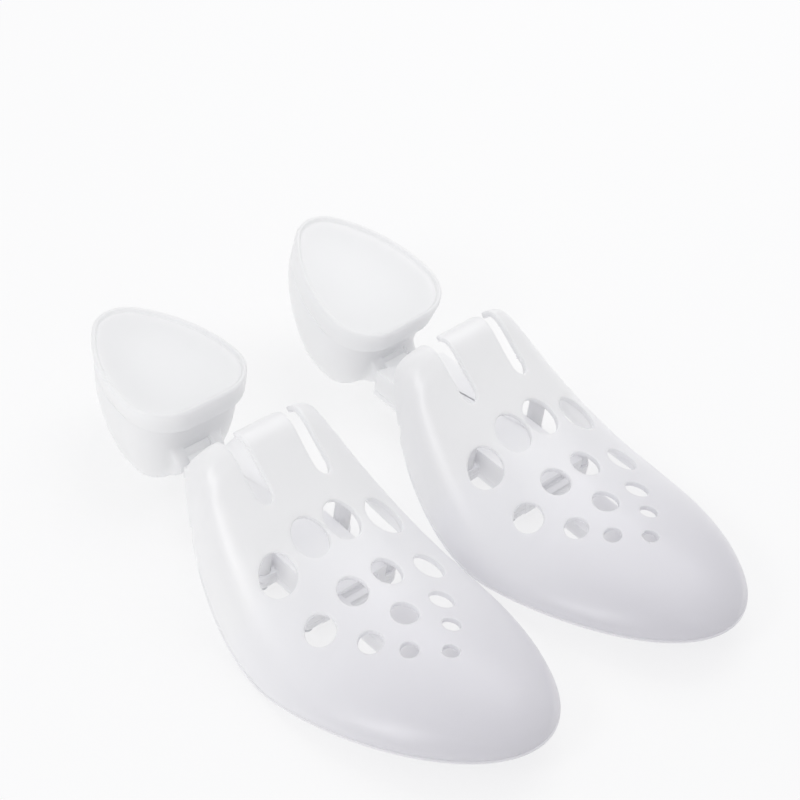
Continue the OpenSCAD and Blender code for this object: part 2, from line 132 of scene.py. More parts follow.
# The shell's surface, the same laws as in the part's source
def smooth_step(x):
    """Rises from 0 to 1 as 3x^2 - 2x^3."""
    x = np.clip(x, 0, 1)
    return x * x * (3 - 2 * x)


def half_width(t):
    """Half width at share t of the length: a parabola behind the ball, a superellipse before it."""
    back = 1 - (1 - BACK_SHARE) * ((BALL_SHARE - np.maximum(t, 0)) / BALL_SHARE) ** 2
    front = np.sqrt(np.maximum(0, 1 - (np.maximum(t - BALL_SHARE, 0) / (1 - BALL_SHARE)) ** 1.7))
    return SHELL_WIDTH / 2 * np.where(t < BALL_SHARE, back, front)


def crest(t):
    """Ridge height: a blunt dome over the toe plus a rise that grows as the 3.9th power backwards."""
    t = np.clip(t, 0, 1)
    return TOE_HEIGHT * np.sqrt(np.maximum(0, 1 - t ** 4.15)) + (SHELL_HEIGHT - TOE_HEIGHT) * (1 - t) ** 3.9


CURL_SLOPE = (crest(CURL_SHARE) - crest(CURL_SHARE + 0.001)) / 0.001


def ridge(t):
    """The crest, which at the fingers runs straight on, less a drop that grows as the square."""
    d = np.maximum(CURL_SHARE - t, 0)
    curled = crest(CURL_SHARE) + CURL_SLOPE * d - FINGER_CURL * (d * SHELL_LENGTH / 10) ** 2
    return np.where(t > CURL_SHARE, crest(np.maximum(t, CURL_SHARE)), curled)


def rim(t):
    """Rim height over the rim plane: flat from the toe to the ball, then rising to the back."""
    return RIM_RISE * np.maximum(0, 1 - t / BALL_SHARE) ** 1.9


def middle(t):
    """Sideways place of the middle line, swinging as the square ahead of the ball."""
    return TOE_SWING * (np.maximum(0, t - BALL_SHARE) / (1 - BALL_SHARE)) ** 2


def section(t):
    """Exponent of the section's superellipse along the shell."""
    return np.interp(t, [START_SHARE, 0.03, 0.5, 1], [6, 3.05, 1.45, 1.8])


def shell_point(t, q):
    """Point of the outer skin: across it, v = w sin q and z = rim + h sqrt(1 - |sin q|^p)."""
    s = np.sin(q)
    rise = np.sqrt(np.maximum(0, 1 - np.abs(s) ** section(t)))
    return np.stack([SHELL_LENGTH * t, middle(t) + half_width(t) * s,
                     rim(t) + (ridge(t) - rim(t)) * rise], -1)


DROP = np.min(SHELL_LENGTH * np.linspace(0, 1, 201) * np.sin(REST_PITCH)
              + rim(np.linspace(0, 1, 201)) * np.cos(REST_PITCH))


def stand(p):
    """Tilts points of the shell's rim plane by the rest pitch and sets them on the floor."""
    c, s = np.cos(REST_PITCH), np.sin(REST_PITCH)
    return np.stack([p[..., 0] * c - p[..., 2] * s, p[..., 1],
                     p[..., 0] * s + p[..., 2] * c - DROP], -1)


CENTRE_X = (HEEL_BACK + PAIR_STAGGER + SHELL_LENGTH * np.cos(REST_PITCH)) / 2
CENTRE_Y = (PAIR_SPACING + BALL_SHARE * SHELL_LENGTH * np.cos(REST_PITCH) * np.sin(PAIR_TURN)) / 2


def place(p, side, tilt=0.0):
    """Moves points of one tree, in millimetres, to their place in the pair, in metres."""
    p = np.array(p, float)
    if tilt:
        x, z = p[..., 0] - HINGE_X, p[..., 2] - HINGE_HEIGHT
        p[..., 0] = HINGE_X + x * np.cos(tilt) + z * np.sin(tilt)
        p[..., 2] = HINGE_HEIGHT - x * np.sin(tilt) + z * np.cos(tilt)
    if side == "left":
        x, y = p[..., 0].copy(), -p[..., 1]
        p[..., 0] = x * np.cos(PAIR_TURN) - y * np.sin(PAIR_TURN) + PAIR_STAGGER
        p[..., 1] = x * np.sin(PAIR_TURN) + y * np.cos(PAIR_TURN) + PAIR_SPACING
    return (p - [CENTRE_X, CENTRE_Y, 0]) / 1000


# Mesh helpers
def make_piece(name, points, faces, side, tilt=0.0):
    """Puts an array of points and lists of faces into a smooth mesh, turned right side out."""
    mesh = bpy.data.meshes.new(name)
    rows = [np.asarray(f)[:, ::-1] if side == "left" else np.asarray(f) for f in faces]
    mesh.from_pydata(place(points, side, tilt), [], [tuple(r) for f in rows for r in f.tolist()])
    mesh.polygons.foreach_set("use_smooth", np.ones(len(mesh.polygons), bool))
    mesh.update()
    piece = bpy.data.objects.new(name, mesh)
    bpy.context.scene.collection.objects.link(piece)
    return piece


def grid_faces(rows, columns, closed=False):
    """Quads of a grid of points, row by row, joined round to the first column where closed."""
    i, j = np.meshgrid(np.arange(rows - 1), np.arange(columns - (not closed)), indexing="ij")
    k, n = i * columns + j, i * columns + (j + 1) % columns
    return np.stack([k, n, n + columns, k + columns], -1).reshape(-1, 4)


def fan_faces(ring, hub, flip=False):
    """Triangles from each pair of neighbours on a closed ring to the hub point."""
    a, b = ring, np.roll(ring, -1)
    return np.stack([b, a, np.full_like(a, hub)] if flip else [a, b, np.full_like(a, hub)], -1)


def add_bevel(piece, width, segments, degrees):
    """Rounds the edges that are sharper than the angle given, over a width in millimetres."""
    bevel = piece.modifiers.new("edge_round", "BEVEL")
    bevel.width = width / 1000
    bevel.segments = segments
    bevel.limit_method = "ANGLE"
    bevel.angle_limit = np.radians(degrees)
    bevel.use_clamp_overlap = False


def cut_from(piece, cutter):
    """Cuts the cutter out of the piece for good and deletes the cutter."""
    boolean = piece.modifiers.new("cut", "BOOLEAN")
    boolean.operation = "DIFFERENCE"
    boolean.solver = "EXACT"
    boolean.object = cutter
    bpy.context.view_layer.update()
    shown = piece.evaluated_get(bpy.context.evaluated_depsgraph_get())
    cut = bpy.data.meshes.new_from_object(shown)
    piece.modifiers.clear()
    piece.data = cut
    piece.data.set_sharp_from_angle(angle=np.radians(45))
    bpy.data.objects.remove(cutter)


# Toe shell
def cut_field(u, v):
    """Signed distance in plan to the vents, slots and finger tips, below zero where cut away."""
    side = np.abs(v)
    end = SLOT_DEPTH - SLOT_WIDTH / 2
    field = np.hypot(np.maximum(u - end, 0), side - SLOT_OFFSET) - SLOT_WIDTH / 2
    edge = SLOT_OFFSET - SLOT_WIDTH / 2

    def rounded(across, behind, radius):
        """Distance out of a quarter plane with a round corner."""
        return (np.hypot(np.maximum(across + radius, 0), np.maximum(behind + radius, 0))
                + np.minimum(np.maximum(across, behind) + radius, 0) - radius)

    back = -FINGER_REACH
    mid = rounded(side - edge, back + MIDDLE_FINGER_BACK - u, MIDDLE_FINGER_ROUND)
    inner = rounded(SLOT_OFFSET + SLOT_WIDTH / 2 - side, back - u, FINGER_ROUND)
    wall = half_width(np.zeros(1))[0]
    behind = back + FINGER_CORNER - u
    outer = np.hypot(np.maximum(side - wall + FINGER_CORNER, 0), np.maximum(behind, 0)) - FINGER_CORNER
    outer = np.where(behind > 0, outer, -FINGER_CORNER)
    tips = np.minimum(mid, np.maximum(inner, outer))
    field = np.minimum(field, np.maximum(-tips, u - (back + FINGER_CORNER)))
    for share, off, size in VENTS:
        at = half_width(np.array([share]))[0] * off
        for y in sorted({-at, at}):
            field = np.minimum(field, np.hypot(u - share * SHELL_LENGTH,
                                               v - middle(np.array([share]))[0] - y) - size / 2)
    return field


def shell_grid(rows, columns):
    """Stations closer at both ends, and angles q spaced evenly along each section's curve."""
    s = np.linspace(0, 1, rows + 1)[:-1]
    t = 1 - (1 - START_SHARE) * (1 - s + 0.03 * np.sin(2 * np.pi * s)) ** 1.7
    fine = np.linspace(-np.pi / 2, np.pi / 2, 721)
    curve = shell_point(*np.broadcast_arrays(t[:, None], fine))
    steps = np.linalg.norm(np.diff(curve, axis=1), axis=-1)
    run = np.concatenate([np.zeros((rows, 1)), np.cumsum(steps, 1)], 1)
    run /= run[:, -1:]
    even = np.linspace(0, 1, columns)
    q = np.stack([np.interp(even, r, fine) for r in run])
    return np.repeat(t[:, None], columns, 1), q


def snap_to_cuts(t, q):
    """Moves the grid points beside each cut onto its outline, along the surface."""
    def field(a, b):
        p = shell_point(a, b)
        return cut_field(p[..., 0], p[..., 1])

    f = field(t, q)
    near = np.zeros(f.shape, bool)
    for axis in (0, 1):
        a = f[:-1] if axis == 0 else f[:, :-1]
        b = f[1:] if axis == 0 else f[:, 1:]
        cross = a * b < 0
        first = cross & (np.abs(a) <= np.abs(b))
        second = cross & ~first
        if axis == 0:
            near[:-1] |= first
            near[1:] |= second
        else:
            near[:, :-1] |= first
            near[:, 1:] |= second
    a, b = t[near], q[near]
    for _ in range(5):
        e = 1e-4
        value = field(a, b)
        at, aq = np.maximum(a - e, START_SHARE), np.clip(b - e, -np.pi / 2, np.pi / 2)
        bt, bq = a + e, np.clip(b + e, -np.pi / 2, np.pi / 2)
        ft = (field(bt, b) - field(at, b)) / (bt - at)
        fq = (field(a, bq) - field(a, aq)) / (bq - aq)
        ht = np.linalg.norm(shell_point(bt, b) - shell_point(at, b), axis=-1) / (bt - at)
        hq = np.linalg.norm(shell_point(a, bq) - shell_point(a, aq), axis=-1) / (bq - aq)
        length = np.maximum((ft / ht) ** 2 + (fq / hq) ** 2, 1e-6)
        a = np.clip(a - value * ft / ht ** 2 / length, START_SHARE, 0.9999)
        b = np.clip(b - value * fq / hq ** 2 / length, -np.pi / 2, np.pi / 2)
    t, q = t.copy(), q.copy()
    t[near], q[near] = a, b
    sign = np.where(near, 0, np.sign(f)).astype(int)
    return t, q, sign


def add_toe_ridge(points, t, q):
    """Pushes the toe out along a soft ridge: a bell curve over the height share, 0.7 mm high.

    The push points away from a spot under the toe. It fades in from the middle of the shell
    and out at the very tip.
    """
    height = np.sqrt(np.maximum(0, 1 - np.abs(np.sin(q)) ** section(t)))
    bell = np.exp(-((height - TOE_RIDGE_SHARE) / TOE_RIDGE_SPREAD) ** 2)
    away = points - [0.6 * SHELL_LENGTH, TOE_SWING / 2, 4.0]
    away /= np.linalg.norm(away, axis=-1, keepdims=True)
    share = smooth_step((t - 0.55) / 0.3) * smooth_step((1 - t) / 0.06)
    return points + away * (TOE_RIDGE_PUSH * bell * share)[..., None]


def make_rim_bead(side):
    """Bead along the shell's lower edge: a 1 mm ring of 12 points carried round the rim curve.

    The ring shrinks and sinks into the wall over the last 14 mm at both ends.
    """
    u = np.linspace(-1, 1, 4001)
    t = 1 - u ** 2 * 0.999
    rim_line = np.stack([SHELL_LENGTH * t, middle(t) + half_width(t) * np.sign(u), rim(t)], -1)
    run = np.append(0, np.cumsum(np.linalg.norm(np.diff(rim_line, axis=0), axis=1)))
    even = np.linspace(0, run[-1], BEAD_STATIONS)
    path = np.stack([np.interp(even, run, rim_line[:, k]) for k in range(3)], -1)
    ahead = np.gradient(path, axis=0)
    out = np.cross(ahead, [0, 0, 1.0])
    out /= np.linalg.norm(out, axis=1, keepdims=True)
    a = np.linspace(0, 2 * np.pi, BEAD_POINTS + 1)[:-1]
    ring = BEAD_RADIUS * np.stack([np.cos(a), np.sin(a)], -1)
    taper = smooth_step(np.minimum(even, run[-1] - even) / BEAD_TAPER)[:, None, None] * 0.94 + 0.06
    points = (path[:, None] + out[:, None] * (ring[:, :1] * taper - 0.1 - BEAD_RADIUS * (1 - taper))
              + np.array([0, 0, 1.0]) * (ring[:, 1:] * taper + BEAD_RADIUS))
    points = np.concatenate([points.reshape(-1, 3), path[[0, -1]] + [0, 0, BEAD_RADIUS]])
    n = BEAD_STATIONS
    hub = n * BEAD_POINTS
    first = np.arange(BEAD_POINTS)
    last = (n - 1) * BEAD_POINTS + first
    faces = [grid_faces(n, BEAD_POINTS, True)[:, ::-1], fan_faces(first, hub),
             fan_faces(last, hub + 1, True)]
    return make_piece(side + "_rim_bead", stand(points), faces, side)


def make_shell(side):
    """Outer skin with every vent, slot and finger cut out, then thickened and edge-rounded."""
    rows, columns = SHELL_ROWS, SHELL_COLUMNS
    t, q, sign = snap_to_cuts(*shell_grid(rows, columns))
    points = add_toe_ridge(shell_point(t, q), t, q).reshape(-1, 3)
    tip = shell_point(np.array([1.0]), np.array([0.0]))
    points = np.concatenate([points, tip])
    sign = np.append(sign.ravel(), 1)
    quads = grid_faces(rows, columns)[:, ::-1]
    last = (rows - 1) * columns + np.arange(columns)
    tip_faces = np.stack([last[1:], last[:-1], np.full(columns - 1, rows * columns)], -1)
    cut_corners = (sign[quads] < 0).sum(1)
    whole = quads[cut_corners == 0]
    centre = points[whole].mean(1)
    whole = whole[cut_field(centre[:, 0], centre[:, 1]) > 0]
    part = quads[cut_corners == 1]
    lost = np.argmax(sign[part] < 0, 1)
    keep = (lost[:, None] + np.array([1, 2, 3])) % 4
    corners = np.take_along_axis(part, keep, 1)
    centre = points[corners].mean(1)
    corners = corners[cut_field(centre[:, 0], centre[:, 1]) > 0]
    used = np.unique(np.concatenate([whole.ravel(), corners.ravel(), tip_faces.ravel()]))
    order = np.zeros(len(points), int)
    order[used] = np.arange(len(used))
    shell = make_piece(side + "_vented_toe_shell", stand(points[used]),
                       [order[whole], order[corners], order[tip_faces]], side)
    wall = shell.modifiers.new("wall", "SOLIDIFY")
    wall.thickness = SHELL_WALL / 1000
    wall.offset = -1
    wall.use_even_offset = True
    add_bevel(shell, EDGE_ROUND, 3, 55)
    return shell


def make_posts(side):
    """Four screw posts: tubes that run from the channel's ears up into the roof."""
    turn = np.linspace(0, 2 * np.pi, POST_POINTS + 1)[:-1]
    bore, outside = SCREW_D / 2 + POST_BORE_GAP, SCREW_D / 2 + POST_WALL
    flare, foot = POST_CHAMFER, POST_BOTTOM + POST_CHAMFER
    points, faces, count = [], [], 0
    for x in (0.12 * SHELL_LENGTH, 0.3 * SHELL_LENGTH):
        for y in (-SCREW_OFFSET, SCREW_OFFSET):
            s = np.linspace(0, 1, 400)
            q = np.arcsin(np.clip((y - middle(s)) / half_width(s).clip(1e-6), -1, 1))
            roof = stand(shell_point(s, q))
            top = np.interp(x, roof[:, 0], roof[:, 2]) - SHELL_WALL * 0.9
            slope = np.polyfit(roof[:200, 0], roof[:200, 2], 3)
            fall = np.polyval(np.polyder(slope), x)
            rings = []
            for r, z, lean in ((bore, POST_BOTTOM + 6, 0), (bore, foot, 0),
                               (bore + flare, POST_BOTTOM, 0), (outside - flare, POST_BOTTOM, 0),
                               (outside, foot, 0), (outside, top, 1)):
                rings.append(np.stack([x + r * np.cos(turn), y + r * np.sin(turn),
                                       z + lean * fall * r * np.cos(turn)], -1))
            points += rings
            last = len(rings) - 1
            faces.append(grid_faces(len(rings), POST_POINTS, True) + count)
            for ring, flip in ((0, True), (last, False)):
                points.append(rings[ring].mean(0)[None])
                hub = count + len(rings) * POST_POINTS + (ring == last)
                faces.append(fan_faces(count + ring * POST_POINTS + np.arange(POST_POINTS), hub, flip))
            count += len(rings) * POST_POINTS + 2
    return make_piece(side + "_screw_posts", np.concatenate(points), faces, side)


# Heel
def shield(front, back, width, corner, round_back, side_radius, count=240):
    """Closed outline of two front corners, two curved sides and a round back, joined smoothly.

    Each side's circle touches its front corner's circle and the back's circle from outside.
    """
    f = np.array([front - corner, width / 2 - corner])
    b = np.array([back + round_back, 0.0])
    gap = np.linalg.norm(f - b)
    way = (b - f) / gap
    along = ((side_radius - corner) ** 2 - (side_radius - round_back) ** 2 + gap ** 2) / (2 * gap)
    c = f + way * along + np.array([-way[1], way[0]]) * np.sqrt((side_radius - corner) ** 2 - along ** 2)
    first = np.arctan2(f[1] - c[1], f[0] - c[0])
    last = np.arctan2(b[1] - c[1], b[0] - c[0])
    parts = []
    for centre, radius, low, high in ((f, corner, 0, first), (c, side_radius, first, last),
                                      (b, round_back, last, np.pi)):
        a = np.linspace(low, high, 200)[:-1]
        parts.append(centre + radius * np.stack([np.cos(a), np.sin(a)], -1))
    half = np.concatenate([[[front, 0.0]], *parts, [[back, 0.0]]])
    whole = np.concatenate([half, half[-2::-1] * [1, -1]])
    run = np.append(0, np.cumsum(np.linalg.norm(np.diff(whole, axis=0), axis=1)))
    even = np.linspace(0, run[-1], count + 1)[:-1]
    return np.stack([np.interp(even, run, whole[:, k]) for k in (0, 1)], -1)


def soft_max(a, b, k):
    """The greater of two, with a round fillet of size k where they are close."""
    h = np.clip(0.5 + 0.5 * (a - b) / k, 0, 1)
    return b + (a - b) * h + k * h * (1 - h)


def make_cap(side, tilt):
    """Lid: a profile of insets and heights carried round the shield outline, closed at both hubs."""
    outline = shield(HEEL_FRONT, HEEL_BACK, HEEL_WIDTH, HEEL_CORNER, HEEL_BACK_RADIUS, HEEL_SIDE_RADIUS)
    drawn = shield(HEEL_FRONT, HEEL_BACK + COLLAR_DRAFT, HEEL_WIDTH - 2 * COLLAR_DRAFT, HEEL_CORNER,
                   HEEL_BACK_RADIUS, HEEL_SIDE_RADIUS)
    draw = drawn + [0, BODY_LEAN] - outline
    count = len(outline)
    ahead = np.roll(outline, -1, 0) - np.roll(outline, 1, 0)
    normal = np.stack([ahead[:, 1], -ahead[:, 0]], -1)
    normal /= np.linalg.norm(normal, axis=1, keepdims=True)
    h, floor = HEEL_HEIGHT, HEEL_HEIGHT - PANEL_DEPTH
    e = EDGE_WIDTH
    profile = [(e + 1.2, floor), (e + 0.55, floor), (e + 0.28, floor + 0.05), (e + 0.1, floor + 0.2),
               (e + 0.02, floor + 0.45), (e - 0.05, h - 0.5), (e - 0.16, h - 0.2), (e - 0.4, h - 0.04),
               (e - 0.65, h), (0.8, h - 0.05), (0.45, h - 0.22), (0.18, h - 0.52), (0.04, h - 0.95),
               (0.0, h - 1.5), (0.0, h - 3.5), (0.0, h - 6.0), (0.0, COLLAR_BOTTOM + 0.7),
               (0.06, COLLAR_BOTTOM + 0.4), (0.22, COLLAR_BOTTOM + 0.13), (0.5, COLLAR_BOTTOM),
               (3.6, COLLAR_BOTTOM), (3.9, COLLAR_BOTTOM + 0.3), (3.9, COLLAR_BOTTOM + 5.2)]
    centre = np.array([(HEEL_FRONT + HEEL_BACK) / 2 - 2, 0.0])
    rings = []
    inner = outline - normal * profile[0][0]
    for scale in (0.12, 0.35, 0.6, 0.82, 0.94):
        rings.append(np.column_stack([centre + (inner - centre) * scale, np.full(count, floor)]))
    for inset, z in profile:
        ring = outline - normal * inset + draw * (h - z) / COLLAR_HEIGHT
        rings.append(np.column_stack([ring, np.full(count, z)]))
    rings = np.stack(rings)
    points = np.concatenate([rings.reshape(-1, 3), [[*centre, floor]],
                             [[*centre, profile[-1][1]]]])
    points[:, 1] += HEEL_SWING
    n = len(rings)
    faces = [grid_faces(n, count, True)[:, ::-1],
             fan_faces(np.arange(count), n * count),
             fan_faces((n - 1) * count + np.arange(count), n * count + 1, True)]
    return make_piece(side + "_heel_lid", points, faces, side, tilt)


def make_heel(side, tilt):
    """Heel body with its hinge tongue, as a radius over angle and height round an upright line.

    The radius is the soft greater of the shield outline, which widens upwards, and of the tongue,
    whose end is a parabola about the hinge pin. The foot's edge is rounded.
    """
    count = HEEL_POINTS
    turn = np.linspace(-np.pi, np.pi, count + 1)[:-1]
    origin = np.array([HEEL_AXIS_X, 0.0])
    top = COLLAR_BOTTOM + LID_TONGUE
    z = np.concatenate([np.linspace(0, 2.6, 9), np.linspace(3, COLLAR_BOTTOM, 84),
                        [COLLAR_BOTTOM + 0.4, top]])
    radius = []
    for height in z:
        s = min(1.0, height / COLLAR_BOTTOM)
        k = 1 - (1 - s) ** 2
        front = FOOT_FRONT + (HEEL_FRONT - FRONT_STEP - FOOT_FRONT) * (1 - (1 - s) ** FRONT_FULLNESS)
        back = FOOT_FRONT - FOOT_LENGTH + (HEEL_BACK + COLLAR_DRAFT - FOOT_FRONT + FOOT_LENGTH) * k
        width = FOOT_WIDTH + (HEEL_WIDTH - 2 * COLLAR_DRAFT - FOOT_WIDTH) * k
        corner = FOOT_CORNER + (BODY_CORNER - FOOT_CORNER) * k
        bulge = FOOT_SIDE_RADIUS + (HEEL_SIDE_RADIUS - FOOT_SIDE_RADIUS) * k
        outline = shield(front, back, width, corner, HEEL_BACK_RADIUS, bulge, 480)
        outline[:, 1] += HEEL_SWING + BODY_LEAN * s
        arm = outline - origin
        angle = np.arctan2(arm[:, 1], arm[:, 0])
        order = np.argsort(angle)
        reach = np.interp(turn, angle[order], np.hypot(*arm[order].T), period=2 * np.pi)
        inside = 5.4 if height > COLLAR_BOTTOM else 0.15 * s ** 4
        foot = FOOT_ROUND - np.sqrt(max(0.0, FOOT_ROUND ** 2 - max(0.0, FOOT_ROUND - height) ** 2))
        radius.append(reach - inside - foot)
    radius = np.stack(radius)
    lift = (z - HINGE_HEIGHT)[:, None] / EAR_RADIUS
    reach = (HINGE_X - origin[0] + EAR_RADIUS * (1 - lift ** 2)) / np.maximum(np.cos(turn), 0.05)
    flank = (BAR_WIDTH / 2 + 0.8) / np.maximum(np.abs(np.sin(turn)), 0.05)
    tongue = -soft_max(-reach, -flank, 2.0)
    tongue = np.where(np.abs(turn) < 1.2, tongue, 0)
    radius = soft_max(radius, tongue, 3.2)
    points = np.stack([origin[0] + radius * np.cos(turn), origin[1] + radius * np.sin(turn),
                       np.repeat(z[:, None], count, 1)], -1).reshape(-1, 3)
    n = len(z)
    points = np.concatenate([points, [[*origin, 0.0]], [[*origin, top]]])
    faces = [grid_faces(n, count, True),
             fan_faces(np.arange(count), n * count, True),
             fan_faces((n - 1) * count + np.arange(count), n * count + 1)]
    heel = make_piece(side + "_heel_block", points, faces, side, tilt)
    half, r = EYE_WIDTH / 2 + SLIDE_GAP, EYE_RADIUS + SLIDE_GAP
    steps = np.array([[-r, -r], [30, -r], [30, EAR_RADIUS + 1], [HOOD_REACH, EAR_RADIUS + 1],
                      [HOOD_REACH, r], [-r, r]])
    ends = [np.column_stack([HINGE_X + steps[:, 0], np.full(6, y), HINGE_HEIGHT + steps[:, 1]])
            for y in (-half, half)]
    ring = np.arange(6)
    sides = np.stack([ring, np.roll(ring, -1), np.roll(ring, -1) + 6, ring + 6], -1)
    cutter = make_piece(side + "_slot_cutter", np.concatenate(ends),
                        [sides[:, ::-1], ring[None], ring[None, ::-1] + 6], side, tilt)
    cut_from(heel, cutter)
    return heel


# Materials
def linear(code):
    """An sRGB hex colour as linear red, green, blue and alpha."""
    c = np.array([int(code[i:i + 2], 16) for i in (0, 2, 4)]) / 255
    return (*np.where(c <= 0.04045, c / 12.92, ((c + 0.055) / 1.055) ** 2.4), 1.0)


def add_node(tree, kind, inputs=None, **settings):
    """Adds a node, sets its settings, and fills or links its inputs."""
    node = tree.nodes.new(kind)
    for name, value in settings.items():
        setattr(node, name, value)
    for name, value in (inputs or {}).items():
        socket = node.inputs[name]
        if isinstance(value, bpy.types.NodeSocket):
            tree.links.new(value, socket)
        else:
            socket.default_value = value
    return node


def new_material(name):
    """An empty node material with its output."""
    material = bpy.data.materials.new(name)
    material.use_nodes = True
    tree = material.node_tree
    tree.nodes.clear()
    return material, tree, add_node(tree, "ShaderNodeOutputMaterial")


def frosted_polypropylene(name, light, shade, toe, depth, clear, passing):
    """Natural polypropylene moulded in a blasted tool: milky, satin, and it lets light through.

    The toe is painted a shade greyer than the fingers, a ramp of painted shade along the
    shell. Broad clouds about 30 mm wide stand for uneven flow, and the blasted grain of
    0.1 mm is drawn at 0.5 mm so that it shows. The share of light called passing goes through
    the 2 mm walls, so the hollow inside glows, as it does in the real, milky moulding. Depth
    is how far light spreads inside the wall, in millimetres.
    """
    material, tree, out = new_material(name)
    place_at = add_node(tree, "ShaderNodeTexCoord")
    clouds = add_node(tree, "ShaderNodeTexNoise", {"Vector": place_at.outputs["Object"],
                      "Scale": 1000 / 30, "Detail": 3.0, "Roughness": 0.5})
    tint = add_node(tree, "ShaderNodeMix", {"Factor": clouds.outputs["Fac"], "A": linear(shade),
                    "B": linear(light)}, data_type="RGBA")
    # Painted shade: this ramp along x greys the colour towards the toe colour.
    along = add_node(tree, "ShaderNodeSeparateXYZ", {"Vector": place_at.outputs["Object"]})
    wall = add_node(tree, "ShaderNodeMapRange", {"Value": along.outputs["X"], "From Min": -0.02,
                    "From Max": 0.12}, interpolation_type="SMOOTHSTEP")
    tint = add_node(tree, "ShaderNodeMix", {"Factor": wall.outputs["Result"],
                    "A": tint.outputs["Result"], "B": linear(toe)}, data_type="RGBA")
    grain = add_node(tree, "ShaderNodeTexNoise", {"Vector": place_at.outputs["Object"],
                     "Scale": 1000 / 0.5, "Detail": 2.0, "Roughness": 0.6})
    waves = add_node(tree, "ShaderNodeTexNoise", {"Vector": place_at.outputs["Object"],
                     "Scale": 1000 / 9, "Detail": 1.0})
    mixed = add_node(tree, "ShaderNodeMath", {0: waves.outputs["Fac"], 1: 0.35}, operation="MULTIPLY")
    height = add_node(tree, "ShaderNodeMath", {0: grain.outputs["Fac"], 1: 0.12,
                      2: mixed.outputs[0]}, operation="MULTIPLY_ADD")
    bump = add_node(tree, "ShaderNodeBump", {"Strength": 0.5, "Distance": 0.0001,
                    "Height": height.outputs[0]})
    rough = add_node(tree, "ShaderNodeMapRange", {"Value": clouds.outputs["Fac"], "To Min": 0.30,
                     "To Max": 0.38})
    shader = add_node(tree, "ShaderNodeBsdfPrincipled", {
        "Base Color": tint.outputs["Result"], "Roughness": rough.outputs["Result"], "IOR": 1.49,
        "Normal": bump.outputs["Normal"], "Transmission Weight": clear, "Subsurface Weight": 1.0,
        "Subsurface Radius": (1.0, 1.0, 1.0), "Subsurface Scale": depth / 1000})
    path = add_node(tree, "ShaderNodeLightPath")
    inner = add_node(tree, "ShaderNodeMath", {0: path.outputs["Is Shadow Ray"],
                     1: path.outputs["Is Diffuse Ray"]}, operation="MAXIMUM")
    inner = add_node(tree, "ShaderNodeMath", {0: inner.outputs[0], 1: passing}, operation="MULTIPLY")
    through = add_node(tree, "ShaderNodeBsdfTransparent", {"Color": tint.outputs["Result"]})
    glow = add_node(tree, "ShaderNodeMixShader", {0: inner.outputs[0], 1: shader.outputs[0],
                    2: through.outputs[0]})
    tree.links.new(glow.outputs[0], out.inputs["Surface"])
    return material


def plated_steel(name, code, roughness):
    """Zinc-plated steel: a fine brushed metal whose roughness varies in fine marks."""
    material, tree, out = new_material(name)
    place_at = add_node(tree, "ShaderNodeTexCoord")
    marks = add_node(tree, "ShaderNodeTexNoise", {"Vector": place_at.outputs["Object"],
                     "Scale": 1000 / 0.8, "Detail": 3.0})
    rough = add_node(tree, "ShaderNodeMapRange", {"Value": marks.outputs["Fac"],
                     "To Min": roughness - 0.06, "To Max": roughness + 0.08})
    shader = add_node(tree, "ShaderNodeBsdfPrincipled", {
        "Base Color": linear(code), "Metallic": 1.0, "Roughness": rough.outputs["Result"]})
    tree.links.new(shader.outputs[0], out.inputs["Surface"])
    return material


# Each plastic's lighter and darker cloud colours and its toe colour of painted shade, then its depth, clear
# share and passing share
# The shell's toe colour DDDCE0 is painted shade that greys the shell towards its toe.
FROSTED_SHELL = frosted_polypropylene("frosted_polypropylene_shell", "FAFAFB", "F6F6F8", "DDDCE0",
                                      2.5, 0.08, 0.93)
FROSTED_HEEL = frosted_polypropylene("frosted_polypropylene_heel", "FAFBFB", "F7F7F8", "FAFBFB",
                                     8.0, 0.0, 0.8)
MILKY_SLIDE = frosted_polypropylene("milky_polypropylene_slide", "FBFBFC", "F8F8F9", "F8F8F9",
                                    2.0, 0.0, 0.93)
ZINC_STEEL = plated_steel("zinc_plated_steel", "C6C8CA", 0.34)
SPRING_STEEL = plated_steel("bright_spring_steel", "B9BBBD", 0.26)


def dress_node(name, material, edge=0.0):
    """Gives a CAD node its material and, where edge is given, lightly rounded edges."""
    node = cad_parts[name]
    node.data.materials.clear()
    node.data.materials.append(material)
    if edge:
        node.modifiers.new("weld", "WELD").merge_threshold = 1e-6
        add_bevel(node, edge, 2, 35)


def finish_piece(piece, material, body, slot, *nodes):
    """Material, body and the CAD nodes that a new piece stands for. The slot is not used."""
    piece.data.materials.clear()
    piece.data.materials.append(material)
    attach(piece, body)
    if nodes:
        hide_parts(*nodes)


# The pair
for side, tilt in (("right", 0.0), ("left", LEFT_HEEL_TILT)):
    finish_piece(make_shell(side), FROSTED_SHELL, side + "_forepart", "frosted_shell",
                 side + "_toe_shell")
    finish_piece(make_posts(side), FROSTED_SHELL, side + "_forepart", "frosted_shell")
    finish_piece(make_rim_bead(side), FROSTED_SHELL, side + "_forepart", "frosted_shell")
    finish_piece(make_heel(side, tilt), FROSTED_HEEL, side + "_heel", "frosted_heel",
                 side + "_heel_body")
    finish_piece(make_cap(side, tilt), FROSTED_HEEL, side + "_heel", "frosted_heel",
                 side + "_heel_cap")
    for part in ("guide_channel", "keeper_plate", "length_bar"):
        dress_node(side + "_" + part, MILKY_SLIDE, EDGE_ROUND)
    for part in ("channel_screws", "spring_rivet", "stop_pin", "hinge_pin"):
        dress_node(side + "_" + part, ZINC_STEEL)
    dress_node(side + "_detent_spring", SPRING_STEEL)


